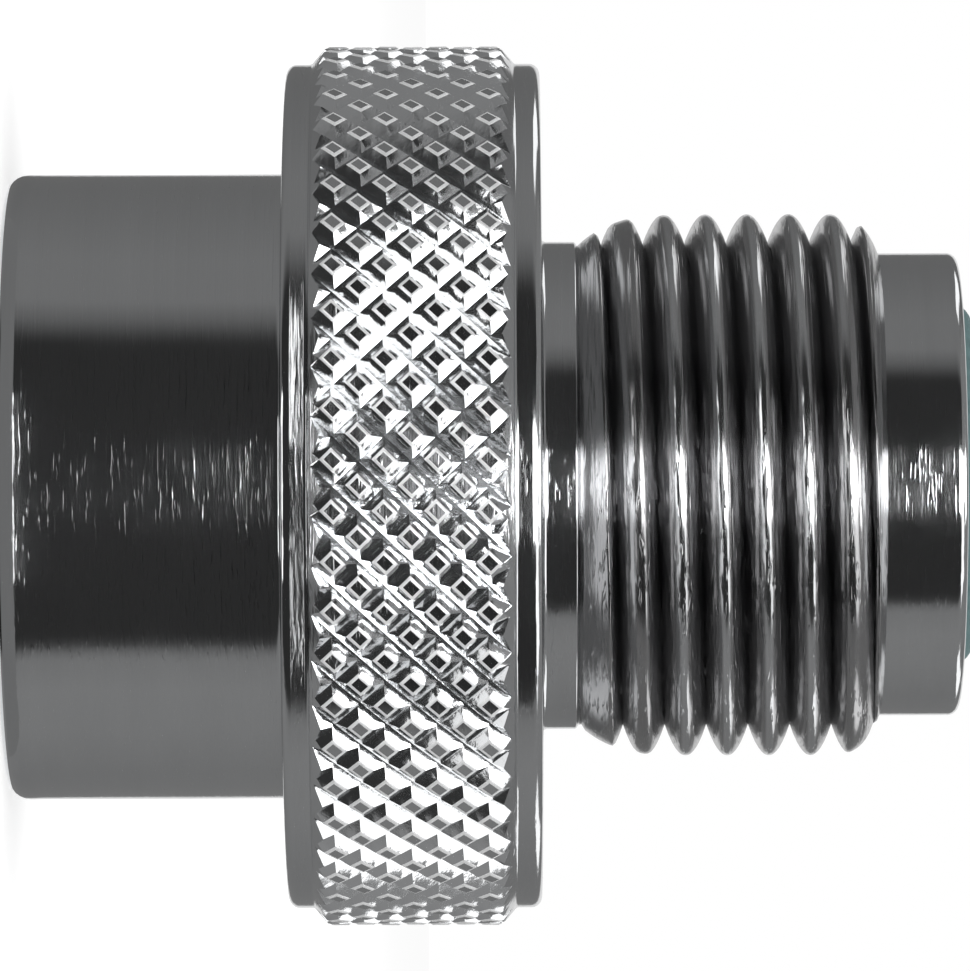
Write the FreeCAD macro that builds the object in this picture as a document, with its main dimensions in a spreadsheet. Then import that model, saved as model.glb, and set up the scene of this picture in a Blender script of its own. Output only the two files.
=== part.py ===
import FreeCAD, Part
import math
import os
import Sketcher

from FreeCAD import Vector

# A threaded adapter that joins two gas connections of different size: a female socket at the bottom,
# a knurled collar for the fingers, and a male screw end whose nose carries a face seal.
# Z runs along the turning axis, from the rim of the socket, on which the adapter stands, to the nose.

os.makedirs("parts", exist_ok=True)
doc = FreeCAD.newDocument("threaded_adapter")

# Driving dimensions, in millimetres and degrees. Each is written once, here.

# Socket end: the female thread is tapped in a bore of tapping_dia, and a relief ends it at the seat
socket_dia = 30.0
socket_length = 13.4
rim_break = 0.8
mouth_dia = 23.4
tapping_dia = 20.587
socket_depth = 17.0
relief_dia = 23.3
relief_length = 2.0
gas_bore_dia = 6.0

# Collar, with its shoulders at collar_dia, and the diamond knurl between them
collar_dia = 40.5
collar_width = 12.1
collar_break = 0.5
knurl_dia = 42.2
knurl_width = 9.7
knurl_end_angle = 50.0
knurl_depth = 0.5
knurl_pitch = 2.4
knurl_around = 56
flank_angle = 45.0

# Male end: neck, screw blank and nose
neck_dia = 23.4
neck_length = 1.7
screw_dia = 26.0
screw_root_dia = 23.55
screw_length = 14.5
screw_start_angle = 30.0
nose_dia = 22.2
nose_length = 3.8
nose_break = 0.5

# Seal in the nose, and the room round it
seal_cord = 2.62
seal_bore_dia = 12.37
seal_proud = 0.75
seal_gap = 0.3
seal_flats = 12

# The sheet holds every driving dimension under its own name, and the model reads them there

sheet = doc.addObject("Spreadsheet::Sheet", "Size")
driving_sizes = {
    "socket_dia": socket_dia,
    "socket_length": socket_length,
    "rim_break": rim_break,
    "mouth_dia": mouth_dia,
    "tapping_dia": tapping_dia,
    "socket_depth": socket_depth,
    "relief_dia": relief_dia,
    "relief_length": relief_length,
    "gas_bore_dia": gas_bore_dia,
    "collar_dia": collar_dia,
    "collar_width": collar_width,
    "collar_break": collar_break,
    "knurl_dia": knurl_dia,
    "knurl_width": knurl_width,
    "knurl_end_angle": knurl_end_angle,
    "knurl_depth": knurl_depth,
    "knurl_pitch": knurl_pitch,
    "knurl_around": knurl_around,
    "flank_angle": flank_angle,
    "neck_dia": neck_dia,
    "neck_length": neck_length,
    "screw_dia": screw_dia,
    "screw_root_dia": screw_root_dia,
    "screw_length": screw_length,
    "screw_start_angle": screw_start_angle,
    "nose_dia": nose_dia,
    "nose_length": nose_length,
    "nose_break": nose_break,
    "seal_cord": seal_cord,
    "seal_bore_dia": seal_bore_dia,
    "seal_proud": seal_proud,
    "seal_gap": seal_gap,
    "seal_flats": seal_flats,
}
for row, (name, value) in enumerate(driving_sizes.items(), start=1):
    sheet.set(f"A{row}", name)
    sheet.set(f"B{row}", str(value))
    sheet.setAlias(f"B{row}", name)
doc.recompute()


def value_of(expression):
    """What an expression in the sheet's names comes to."""
    value = sheet.evalExpression(expression)
    return float(getattr(value, "Value", value))


# Heights along the axis

COLLAR_FOOT = "Size.socket_length"
COLLAR_TOP = f"({COLLAR_FOOT} + Size.collar_width)"
COLLAR_MIDDLE = f"({COLLAR_FOOT} + Size.collar_width / 2)"
SCREW_START = f"({COLLAR_TOP} + Size.neck_length)"
SCREW_END = f"({SCREW_START} + Size.screw_length)"
NOSE_END = f"({SCREW_END} + Size.nose_length)"


def origin(body, role):
    return next(item for item in body.Origin.OriginFeatures if item.Role == role)


def outline(body, name, corners):
    """A closed sketch in the XZ plane, whose corners are pairs of expressions: radius and height.

    Each corner is held by its distances from the axis and from the resting plane.
    """
    sketch = body.newObject("Sketcher::SketchObject", name)
    sketch.AttachmentSupport = [(origin(body, "XZ_Plane"), "")]
    sketch.MapMode = "FlatFace"
    points = [Vector(value_of(radius), value_of(height), 0) for radius, height in corners]
    for index, point in enumerate(points):
        sketch.addGeometry(Part.LineSegment(point, points[(index + 1) % len(points)]))
    for index, point in enumerate(points):
        following = (index + 1) % len(points)
        sketch.addConstraint(Sketcher.Constraint("Coincident", index, 2, following, 1))
        for kind, distance, expression in zip(("DistanceX", "DistanceY"), point, corners[index]):
            if distance == 0:
                axis = -1 if kind == "DistanceY" else -2
                sketch.addConstraint(Sketcher.Constraint("PointOnObject", index, 1, axis))
            else:
                held = sketch.addConstraint(Sketcher.Constraint(kind, -1, 1, index, 1, distance))
                sketch.setExpression(f"Constraints[{held}]", expression)
    return sketch


def turned(body, kind, name, corners):
    """Turn an outline once round the Z axis: a Revolution adds it, a Groove cuts it away."""
    feature = body.newObject(f"PartDesign::{kind}", name)
    feature.Profile = outline(body, f"{name}_outline", corners)
    feature.ReferenceAxis = (origin(body, "Z_Axis"), [""])
    feature.Angle = 360
    doc.recompute()
    return feature


# The turned blank: everything that the lathe leaves, without the knurl

turned_blank = doc.addObject("PartDesign::Body", "turned_blank")

END_BREAK = "(Size.screw_dia - Size.screw_root_dia) / 2"
START_RUN = "(Size.screw_dia - Size.neck_dia) / 2 / tan(Size.screw_start_angle)"
outside = turned(turned_blank, "Revolution", "outside", [
    ("0", "0"),
    ("Size.socket_dia / 2 - Size.rim_break", "0"),
    ("Size.socket_dia / 2", "Size.rim_break"),
    ("Size.socket_dia / 2", COLLAR_FOOT),
    ("Size.collar_dia / 2 - Size.collar_break", COLLAR_FOOT),
    ("Size.collar_dia / 2", f"{COLLAR_FOOT} + Size.collar_break"),
    ("Size.collar_dia / 2", f"{COLLAR_TOP} - Size.collar_break"),
    ("Size.collar_dia / 2 - Size.collar_break", COLLAR_TOP),
    ("Size.neck_dia / 2", COLLAR_TOP),
    ("Size.neck_dia / 2", SCREW_START),
    ("Size.screw_dia / 2", f"{SCREW_START} + {START_RUN}"),
    ("Size.screw_dia / 2", f"{SCREW_END} - {END_BREAK}"),
    ("Size.screw_root_dia / 2", SCREW_END),
    ("Size.nose_dia / 2", SCREW_END),
    ("Size.nose_dia / 2", f"{NOSE_END} - Size.nose_break"),
    ("Size.nose_dia / 2 - Size.nose_break", NOSE_END),
    ("0", NOSE_END),
])

# Socket: a lead-in at the mouth, the tapping bore, and a relief down to the flat sealing seat
socket = turned(turned_blank, "Groove", "socket", [
    ("0", "0"),
    ("Size.mouth_dia / 2", "0"),
    ("Size.tapping_dia / 2", "(Size.mouth_dia - Size.tapping_dia) / 2"),
    ("Size.tapping_dia / 2", "Size.socket_depth - Size.relief_length"),
    ("Size.relief_dia / 2", "Size.socket_depth - Size.relief_length"),
    ("Size.relief_dia / 2", "Size.socket_depth"),
    ("0", "Size.socket_depth"),
])

gas_bore = turned(turned_blank, "Groove", "gas_bore", [
    ("0", "Size.socket_depth / 2"),
    ("Size.gas_bore_dia / 2", "Size.socket_depth / 2"),
    ("Size.gas_bore_dia / 2", f"{NOSE_END} + Size.nose_break"),
    ("0", f"{NOSE_END} + Size.nose_break"),
])

# The seal sits on the groove's floor, against its inner wall
GROOVE_OUTSIDE = "Size.seal_bore_dia / 2 + Size.seal_cord + Size.seal_gap"
GROOVE_FLOOR = f"{NOSE_END} + Size.seal_proud - Size.seal_cord"
seal_groove = turned(turned_blank, "Groove", "seal_groove", [
    ("Size.seal_bore_dia / 2", GROOVE_FLOOR),
    (GROOVE_OUTSIDE, GROOVE_FLOOR),
    (GROOVE_OUTSIDE, f"{NOSE_END} + Size.nose_break"),
    ("Size.seal_bore_dia / 2", f"{NOSE_END} + Size.nose_break"),
])

for before, after in ((outside, socket), (socket, gas_bore), (gas_bore, seal_groove)):
    if after.Shape.Volume >= before.Shape.Volume:
        raise RuntimeError(f"{after.Name} cut nothing away")

# The knurl: two families of V grooves, one of each hand, cross and leave rows of flat-topped diamonds.
# Every diamond is a low pyramid cut off at the crest. Its four flanks end at sharp groove bottoms,
# which meet at nodes: two beside its centre and two above and below it. Flanks of neighbours share
# the straight groove bottom between two nodes, so the whole surface is of flat faces.

crest_radius = value_of("Size.knurl_dia / 2")
node_radius = value_of("Size.knurl_dia / 2 - Size.knurl_depth")
around = round(value_of("Size.knurl_around"))
half_turn = math.pi / around
half_pitch = value_of("Size.knurl_pitch / 2")
inset = value_of("1 / tan(Size.flank_angle)")

# Half the diamond's width at the nodes' height, where each flank is to hold both of its nodes
node_drop = node_radius * (1 - math.cos(half_turn)) * inset
node_reach = node_radius * math.sin(half_turn)
steepness = 1 - (node_drop / half_pitch) ** 2
root = math.sqrt(node_reach**2 - steepness * (node_reach**2 - node_drop**2))
half_width = (node_reach - root) / steepness

# What the flanks take off each half diagonal from the nodes up to the crest
taken = (crest_radius - node_radius) * inset * math.hypot(1, half_width / half_pitch)
flat_across = half_width - taken
flat_along = flat_across * half_pitch / half_width


def node(half_steps, height):
    """A groove crossing, placed by its number of half diamonds round the collar."""
    angle = half_steps * half_turn
    return Vector(node_radius * math.cos(angle), node_radius * math.sin(angle), height)


def flat_face(*points):
    return Part.Face(Part.makePolygon([*points, points[0]]))


def diamond(half_steps, height):
    """The flat top and the four flanks of one diamond."""
    angle = half_steps * half_turn
    outward = Vector(math.cos(angle), math.sin(angle), 0)
    across = Vector(-math.sin(angle), math.cos(angle), 0) * flat_across
    along = Vector(0, 0, flat_along)
    middle = outward * crest_radius + Vector(0, 0, height)
    top = [middle + across, middle + along, middle - across, middle - along]
    feet = [
        node(half_steps + 1, height),
        node(half_steps, height + half_pitch),
        node(half_steps - 1, height),
        node(half_steps, height - half_pitch),
    ]
    flanks = [
        flat_face(feet[side - 1], feet[side], top[side], top[side - 1]) for side in range(4)
    ]
    return [flat_face(*top), *flanks]


def end_cone(half_steps, height, end):
    """Two of the faces that close the form, from the last row's outer groove bottoms to the axis."""
    tip = Vector(0, 0, height + end * half_pitch)
    outer = node(half_steps, height + end * half_pitch)
    return [flat_face(outer, node(half_steps + side, height), tip) for side in (-1, 1)]


# Rows enough to pass both ends of the band, the middle one in the middle of the collar
rows_each_way = math.ceil(value_of("Size.knurl_width / Size.knurl_pitch"))
faces = []
for line in range(-rows_each_way, rows_each_way + 1):
    height = value_of(COLLAR_MIDDLE) + line * half_pitch
    for place in range(around):
        half_steps = 2 * place + line % 2
        faces += diamond(half_steps, height)
        if abs(line) == rows_each_way:
            faces += end_cone(half_steps, height, math.copysign(1, line))
skin = Part.makeShell(faces)
skin.sewShape()
diamond_form = doc.addObject("Part::Feature", "diamond_form")
diamond_form.Shape = Part.Solid(skin)

# The band keeps the diamonds between two turned-down ends, which run out on the shoulders
knurl_band = doc.addObject("PartDesign::Body", "knurl_band")
BAND_FOOT = "Size.collar_dia / 2 - Size.collar_break"
BAND_CREST = "Size.knurl_dia / 2 + Size.knurl_depth"
BAND_BORE = "Size.socket_dia / 2"


def band_edge(radius, side):
    """Where an end of the band has the given radius. It passes the shoulder at half of knurl_width."""
    rise = f"({radius} - Size.collar_dia / 2) / tan(Size.knurl_end_angle)"
    return f"{COLLAR_MIDDLE} {side} (Size.knurl_width / 2 - {rise})"


turned(knurl_band, "Revolution", "band", [
    (BAND_BORE, band_edge(f"({BAND_FOOT})", "-")),
    (BAND_FOOT, band_edge(f"({BAND_FOOT})", "-")),
    (BAND_CREST, band_edge(f"({BAND_CREST})", "-")),
    (BAND_CREST, band_edge(f"({BAND_CREST})", "+")),
    (BAND_FOOT, band_edge(f"({BAND_FOOT})", "+")),
    (BAND_BORE, band_edge(f"({BAND_FOOT})", "+")),
])

knurled_ring = doc.addObject("Part::Common", "knurled_ring")
knurled_ring.Base = diamond_form
knurled_ring.Tool = knurl_band

adapter_body = doc.addObject("Part::Fuse", "adapter_body")
adapter_body.Base = turned_blank
adapter_body.Tool = knurled_ring
adapter_body.Label = "adapter_body"
adapter_body.Placement = FreeCAD.Placement()

# The seal: a rubber ring, seated on the groove's floor and round its inner wall.
# Its round section is drawn with flats, one of them on the floor and one on the wall.

nose_o_ring = doc.addObject("PartDesign::Body", "nose_o_ring")
nose_o_ring.Label = "nose_o_ring"
nose_o_ring.Placement = FreeCAD.Placement()
flats = round(value_of("Size.seal_flats"))
section = []
for corner in range(flats):
    turn = f"(360 * {corner} + 180) / Size.seal_flats"
    spoke = "Size.seal_cord / 2 / cos(180 / Size.seal_flats)"
    section.append((
        f"Size.seal_bore_dia / 2 + Size.seal_cord / 2 + {spoke} * cos({turn})",
        f"{NOSE_END} + Size.seal_proud - Size.seal_cord / 2 + {spoke} * sin({turn})",
    ))
turned(nose_o_ring, "Revolution", "ring", section)

# Check the document, then write one file for each sub-part

doc.recompute()
for item in doc.Objects:
    if "Invalid" in item.State or "Error" in item.State:
        raise RuntimeError(f"{item.Name} is {item.State}")
for sub_part in (adapter_body, nose_o_ring):
    shape = sub_part.Shape
    if shape.isNull() or not shape.isValid() or len(shape.Solids) != 1:
        raise RuntimeError(f"{sub_part.Label} is not one valid solid")
    print(sub_part.Label, "faces", len(shape.Faces), "volume", round(shape.Volume, 1))
    shape.exportStep(f"parts/{sub_part.Label}.step")
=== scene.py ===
# %% [markdown]
# # A plated threaded adapter
#
# The real adapter is one piece of turned brass, plated bright, with a rubber ring in its nose. The packed
# part already has every main form at its true size. This script makes the same piece again as a fine mesh,
# because polished metal shows each edge and ridge, and then gives it its finish.

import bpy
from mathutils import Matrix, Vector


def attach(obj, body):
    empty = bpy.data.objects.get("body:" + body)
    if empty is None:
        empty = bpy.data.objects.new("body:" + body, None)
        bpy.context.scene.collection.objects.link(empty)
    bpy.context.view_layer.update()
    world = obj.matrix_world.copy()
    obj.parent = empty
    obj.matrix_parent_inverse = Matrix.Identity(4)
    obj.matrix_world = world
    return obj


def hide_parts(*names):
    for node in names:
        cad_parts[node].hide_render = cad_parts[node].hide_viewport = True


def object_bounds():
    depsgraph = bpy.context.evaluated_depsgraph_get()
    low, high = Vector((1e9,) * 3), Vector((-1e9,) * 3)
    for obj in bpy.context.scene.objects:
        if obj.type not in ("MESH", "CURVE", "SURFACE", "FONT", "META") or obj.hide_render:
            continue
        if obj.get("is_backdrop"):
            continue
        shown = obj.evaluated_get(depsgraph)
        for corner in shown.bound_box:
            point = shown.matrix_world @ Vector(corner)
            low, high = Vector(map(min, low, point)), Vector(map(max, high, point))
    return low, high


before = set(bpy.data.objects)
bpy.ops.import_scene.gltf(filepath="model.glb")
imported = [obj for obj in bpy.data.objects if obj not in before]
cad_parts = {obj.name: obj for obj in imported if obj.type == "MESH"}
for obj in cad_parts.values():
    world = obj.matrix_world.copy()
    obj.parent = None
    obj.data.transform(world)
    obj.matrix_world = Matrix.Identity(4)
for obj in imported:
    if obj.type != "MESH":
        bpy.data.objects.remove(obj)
cad_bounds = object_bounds()
print("Packed part, in mm:", [round(size * 1000, 2) for size in cad_bounds[1] - cad_bounds[0]])

# %% Modules and units
import math

import bmesh
import bpy
import numpy as np
from mathutils import Matrix, Vector

MM = 0.001
print("The mesh is worked out in millimetres. One is", MM, "m")

# %% [markdown]
# ## Sizes of the adapter
#
# A turned part is drawn as half of its section: radii from the axis and heights along it. The heights start
# at the socket's rim, on which the adapter stands, and end at the nose. All are in millimetres. Sizes that
# only one form needs, such as a thread's pitch, come with that form.

# %% Sizes
RIM_RADIUS = 15.0
COLLAR_FOOT = 13.4
COLLAR_TOP = 25.5
SHOULDER_RADIUS = 20.25
CREST_RADIUS = 21.1
KNURL_FOOT = 14.6
KNURL_TOP = 24.3
NECK_RADIUS = 11.7
SCREW_START = 27.3
SCREW_END = 41.7
NOSE_RADIUS = 11.1
NOSE_END = 45.5
GROOVE_INSIDE = 6.185
GROOVE_OUTSIDE = 9.105
GROOVE_FLOOR = 43.63
GAS_BORE_RADIUS = 3.0
SEAT = 17.0
RELIEF_RADIUS = 11.65
RELIEF_FOOT = 15.0
MOUTH_RADIUS = 11.7
print("From rim to nose:", NOSE_END, "mm")

# %% [markdown]
# ## Rings and strips
#
# A lathe makes every surface by turning a line round the axis. The mesh is made in the same way: rings of
# points round the axis, joined by strips of faces. Four lists collect the whole body, so that neighbours can
# share their points and the mesh closes without welding.

# %% Lists for the body, and rings of points
COLUMNS = 240
TURN = np.arange(COLUMNS) * 2 * math.pi / COLUMNS

points = []
faces = []
normals = []
finishes = []

# The fourth finish, on the knurl's frames, is a painted highlight.
PLAIN, KNURLED, THREADED, FRAME_HIGHLIGHT = 0, 1, 2, 3


def spun(radius, height, angle):
    """Points at a radius and height, turned to the given angles."""
    radius, height, angle = np.broadcast_arrays(radius, height, angle)
    return np.stack([radius * np.cos(angle), radius * np.sin(angle), height], axis=-1)


def ring(radius, height):
    """Add one ring of points and return their numbers."""
    first = len(points)
    points.extend(spun(radius, height, TURN).tolist())
    return np.arange(first, first + COLUMNS)


print("Points in a ring:", COLUMNS)

# %% [markdown]
# Each corner of a face gets its exact normal, and each face its finish. A mirror-like metal needs exact
# normals: with averaged ones, the reflections bend at every edge of the mesh.

# %% Faces and strips
def face(corners, corner_normals, finish):
    """Add one face. Corners that fell on the same point are counted once."""
    kept = [place for place, corner in enumerate(corners) if corner != corners[place - 1]]
    if len({corners[place] for place in kept}) < 3:
        return
    faces.append([int(corners[place]) for place in kept])
    normals.extend([corner_normals[place] for place in kept])
    finishes.append(finish)


def strip(low, high, low_normal, high_normal, finish=PLAIN):
    """Join two rings. A normal is given by its part away from the axis and its part along it."""
    below = spun(low_normal[0], low_normal[1], TURN).tolist()
    above = spun(high_normal[0], high_normal[1], TURN).tolist()
    for here in range(COLUMNS):
        after = (here + 1) % COLUMNS
        face(
            [low[here], low[after], high[after], high[here]],
            [below[here], below[after], above[after], above[here]],
            finish,
        )


print("Finishes: plain", PLAIN, "knurled", KNURLED, "threaded", THREADED, "frame_highlight", FRAME_HIGHLIGHT)

# %% [markdown]
# ## Outlines with rounded corners
#
# No edge of a plated part is truly sharp. Each corner of the outline has its own rounding: about a
# millimetre at the rim, half a millimetre at the collar, and a tenth where an edge was only broken. An
# outline runs with the metal on its left, so the normal of a run always points to its right.

# %% Round the corners of an outline
ARC_STEP = math.radians(14)


def outline_runs(corners):
    """Turn corners (radius, height, rounding) into points with the normals before and after each."""
    places = [np.array(corner[:2], float) for corner in corners]
    made = []
    for number, corner in enumerate(corners):
        ways = []
        for start, end in ((number - 1, number), (number, number + 1)):
            if 0 <= start and end < len(corners):
                step = places[end] - places[start]
                ways.append(step / np.linalg.norm(step))
        side = [(way[1], -way[0]) for way in ways]
        if len(ways) == 1 or corner[2] == 0:
            made.append((places[number], side[0], side[-1]))
            continue
        before, after = (math.atan2(across[1], across[0]) for across in side)
        bend = (after - before + math.pi) % (2 * math.pi) - math.pi
        tangent = corner[2] * math.tan(abs(bend) / 2)
        start = places[number] - ways[0] * tangent
        centre = start - np.array(side[0]) * math.copysign(corner[2], bend)
        steps = max(2, round(abs(bend) / ARC_STEP))
        for step in range(steps + 1):
            angle = before + bend * step / steps
            across = np.array([math.cos(angle), math.sin(angle)])
            made.append((centre + across * math.copysign(corner[2], bend), tuple(across), tuple(across)))
    return made


print("Points of a rounded square corner:", len(outline_runs([(1, 0, 0), (2, 0, 0.1), (2, 1, 0)])) - 2)

# %% [markdown]
# The rounded outline is then spun like clay on a wheel. A run may start or end on a ring of its neighbour,
# which leaves no seam between them.

# %% Spin an outline
def turned(corners, first=None, last=None, finish=PLAIN):
    """Turn an outline. It may start or end on a ring that is already there."""
    made = outline_runs(corners)
    given = {0: first, len(made) - 1: last}
    rings = []
    for number, (place, _, _) in enumerate(made):
        already = given.get(number)
        rings.append(ring(*place) if already is None else already)
    for number in range(len(made) - 1):
        strip(rings[number], rings[number + 1], made[number][2], made[number + 1][1], finish)
    return rings[0], rings[-1]


print("Steps of", round(math.degrees(ARC_STEP)), "degrees round a corner")

# %% [markdown]
# ## Socket and lower shoulder
#
# The socket's rim is well rounded, and a small fillet runs it into the collar's face. The knurl's sloped
# end starts on the shoulder with a small fillet too, which shows as a thin bright line.

# %% Turn the socket's outside
SLOPE = math.tan(math.radians(50))
SLOPE_RISE = 0.12
FOOT_FILLET = 0.2
LAST_STRETCH = 0.04

foot_cut = (SHOULDER_RADIUS + SLOPE_RISE * SLOPE, KNURL_FOOT + SLOPE_RISE)
top_cut = (SHOULDER_RADIUS + SLOPE_RISE * SLOPE, KNURL_TOP - SLOPE_RISE)

rim_ring, knurl_foot_ring = turned([
    (MOUTH_RADIUS, 0, 0),
    (RIM_RADIUS, 0, 1.0),
    (RIM_RADIUS, COLLAR_FOOT, 0.35),
    (SHOULDER_RADIUS, COLLAR_FOOT, 0.5),
    (SHOULDER_RADIUS, KNURL_FOOT, FOOT_FILLET),
    (foot_cut[0] - LAST_STRETCH * SLOPE, foot_cut[1] - LAST_STRETCH, 0),
])
print("Points after the socket:", len(points))

# %% [markdown]
# ## Screw thread
#
# A thread is a ridge that climbs by one pitch in each turn. It could be swept along a helix, but then its
# ends would stop dead. So its radius is a formula of the angle and the height: the ridge itself, and a limit
# at each end out of which it grows. The metal is whichever is lower, and a soft minimum rounds the edge
# between the two, as polishing and plating do.

# %% Helpers for the ridge of a thread
def from_crest(offset, pitch):
    """Distance along the axis from the nearest crest."""
    return np.abs((offset + pitch / 2) % pitch - pitch / 2)


def both_sides(half):
    """Rows of one pitch, from root to root, for rows given from crest to root."""
    half = np.array(half)
    return np.concatenate([-half[:0:-1], half])[1:]


def soft_min(one, other, width):
    """The lower of two heights, with the edge between them rounded over the given width."""
    near = np.maximum(width - np.abs(one - other), 0) / width
    return np.minimum(one, other) - near**2 * width / 4


print("A soft minimum of 1 and 1:", soft_min(1.0, 1.0, 0.2))

# %% [markdown]
# The exact normal of a threaded surface comes from its formula: how fast the radius changes along the axis
# and round it. Both are read a hair to one side of the point, so that a crease keeps two normals.

# %% Normals of a threaded surface
NUDGE = 0.004
TWIST = 1e-4


def thread_normals(radius_of, angle, height, side, facing):
    """Normals of a threaded surface, just above (side 1) or just below (side -1) each point."""
    start, step = height + side * NUDGE / 4, side * NUDGE
    radius = radius_of(angle, start)
    along = (radius_of(angle, start + step) - radius) / step
    around = (radius_of(angle + TWIST, start) - radius_of(angle - TWIST, start)) / (2 * TWIST) / radius
    outward = np.stack([np.cos(angle), np.sin(angle), np.zeros_like(angle)], axis=-1)
    forward = np.stack([-np.sin(angle), np.cos(angle), np.zeros_like(angle)], axis=-1)
    normal = outward - forward * around[:, None] - np.array([0, 0, 1]) * along[:, None]
    return (facing * normal / np.linalg.norm(normal, axis=1)[:, None]).tolist()


print("Normals are read", NUDGE, "mm and", TWIST, "radians beside a point")

# %% [markdown]
# The rows of points climb with the thread, so crests and roots are real lines of the mesh and no ridge is
# torn into steps. Where a row leaves the stretch at either end, its points fall together on the end's ring.

# %% Rows that climb
def threaded(low_ring, high_ring, start, end, pitch, crest, rows, radius_of, facing):
    """Fill the stretch between two rings with climbing rows. Facing is 1 outside and -1 in a bore.

    Crest is the height of any crest at angle 0.
    """
    per_turn = len(rows)
    turns = math.ceil((end - start) / pitch) + 3
    lowest = crest + pitch * (math.floor((start - crest) / pitch) - 1)
    offsets = np.concatenate([rows + pitch * turn for turn in range(turns)]) + lowest
    angles = np.append(TURN, 2 * math.pi)
    numbers = np.empty((len(offsets), COLUMNS), int)
    heights = offsets[:, None] + pitch * TURN[None, :] / (2 * math.pi)
    for row in range(len(offsets)):
        below, above = heights[row] <= start + NUDGE, heights[row] >= end - NUDGE
        heights[row] = np.clip(heights[row], start, end)
        heights[row][below], heights[row][above] = start, end
        numbers[row] = np.where(below, low_ring, high_ring)
        inside = np.where(~below & ~above)[0]
        numbers[row, inside] = np.arange(len(points), len(points) + len(inside))
        places = spun(radius_of(TURN[inside], heights[row, inside]), heights[row, inside], TURN[inside])
        points.extend(places.tolist())

    def closed(row):
        """A row with the column that closes the turn: there the row one turn up takes over."""
        if row + per_turn < len(offsets):
            return np.append(numbers[row], numbers[row + per_turn, 0]), np.append(
                heights[row], heights[row + per_turn, 0])
        return np.append(numbers[row], high_ring[0]), np.append(heights[row], end)

    for row in range(len(offsets) - 1):
        (low, low_height), (high, high_height) = closed(row), closed(row + 1)
        if (low_height >= end).all() or (high_height <= start).all():
            continue
        below = thread_normals(radius_of, angles, low_height, 1, facing)
        above = thread_normals(radius_of, angles, high_height, -1, facing)
        for here in range(COLUMNS):
            after = here + 1
            corners = [low[here], low[after], high[after], high[here]]
            leaning = [below[here], below[after], above[after], above[here]]
            if facing < 0:
                corners, leaning = corners[::-1], leaning[::-1]
            face(corners, leaning, THREADED)


print("Each row of a thread has", COLUMNS, "points a turn")

# %% [markdown]
# ## Male thread
#
# The male thread has a pitch of 2 mm on a diameter of 26 mm and is right-handed. Seen from the side, its
# ridges are arches that meet in narrow valleys, so the ridge is a parabola. It grows out of the neck over
# about one pitch, and sinks a little faster to the nose.

# %% The male thread's ridge
PITCH = 2.0
SCREW_RADIUS = 13.0
ROOT_RADIUS = 11.5
THREAD_TURN = 0.216
RUN_IN, RUN_OUT = 1.8, 0.8
RUN_SOFTNESS = 0.25


def male_radius(angle, height):
    """Radius of the male thread: arched ridges that grow from the neck and sink before the nose."""
    away = from_crest(height - PITCH * (angle / (2 * math.pi) + THREAD_TURN), PITCH) / (PITCH / 2)
    thread = SCREW_RADIUS - (SCREW_RADIUS - ROOT_RADIUS) * away**2
    limit = SCREW_RADIUS + RUN_SOFTNESS
    run_in = limit - (limit - ROOT_RADIUS) * np.exp((SCREW_START - height) / RUN_IN)
    run_out = limit - (limit - NOSE_RADIUS) * np.exp((height - SCREW_END) / RUN_OUT)
    return soft_min(soft_min(thread, run_in, RUN_SOFTNESS), run_out, RUN_SOFTNESS)


print("Depth of the male thread:", SCREW_RADIUS - ROOT_RADIUS, "mm")

# %% [markdown]
# The rows lie closer together near the crest, where the arch bends most and catches the light.

# %% Cut the male thread
neck_cut = ring(ROOT_RADIUS, SCREW_START)
screw_end_ring = ring(NOSE_RADIUS, SCREW_END)
male_rows = both_sides([0, 0.07, 0.145, 0.235, 0.35, 0.5, 0.65, 0.82, 1.0])
threaded(
    neck_cut, screw_end_ring, SCREW_START, SCREW_END, PITCH, PITCH * THREAD_TURN,
    male_rows, male_radius, 1,
)
print("Rows in one pitch of the male thread:", len(male_rows), "and faces so far:", len(faces))

# %% [markdown]
# ## Knurl
#
# Two knurling wheels press V grooves of opposite hand into the collar and leave rows of flat-topped
# diamonds. Here one groove family is deeper and wider, because one wheel pressed harder. A regular grid
# would tear such slanted edges, so every diamond is its own tile, whose lines run along the grooves. A narrow
# frame round each top is a shallow slope of its own, and later gets a pale finish that is a painted
# highlight.

# %% Grooves of one diamond
AROUND = 56
KNURL_PITCH = 2.4
BAND_MIDDLE = (KNURL_FOOT + KNURL_TOP) / 2
DEEP, DEEP_SHARE = 0.56, 0.27
FLAT, FLAT_SHARE = 0.42, 0.23
EDGE_DROP, EDGE_SHARE = 0.07, 0.09
AT_FRAME = EDGE_DROP * 1.01


def groove_lines(share, shallow_at):
    """Where the lines of one groove family cross a tile, from 0 to 1."""
    near = [0, *shallow_at, share, share + EDGE_SHARE]
    return np.array([*near, 0.5, *[1 - place for place in reversed(near)]])


def groove_drop(place, depth, share):
    """How far a groove lies below the crest, at a place from 0 to 1 across a tile."""
    away = np.minimum(place, 1 - place)
    return np.interp(away, [0, share, share + EDGE_SHARE], [depth, EDGE_DROP, 0])


meeting = DEEP_SHARE * (DEEP - FLAT) / (DEEP - EDGE_DROP)
deep_lines = groove_lines(DEEP_SHARE, [meeting])
flat_lines = groove_lines(FLAT_SHARE, [])
tile_a, tile_b = np.meshgrid(flat_lines, deep_lines, indexing="ij")
tile_drop = np.maximum(groove_drop(tile_b, DEEP, DEEP_SHARE), groove_drop(tile_a, FLAT, FLAT_SHARE))
on_top = tile_drop == 0
print("Lines across one diamond:", len(flat_lines), "and", len(deep_lines))

# %% [markdown]
# Where flanks of both groove families meet, the edge between them runs across a cell of the tile. Such a
# cell is cut into two triangles along that edge, so that the edge stays sharp.

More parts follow.
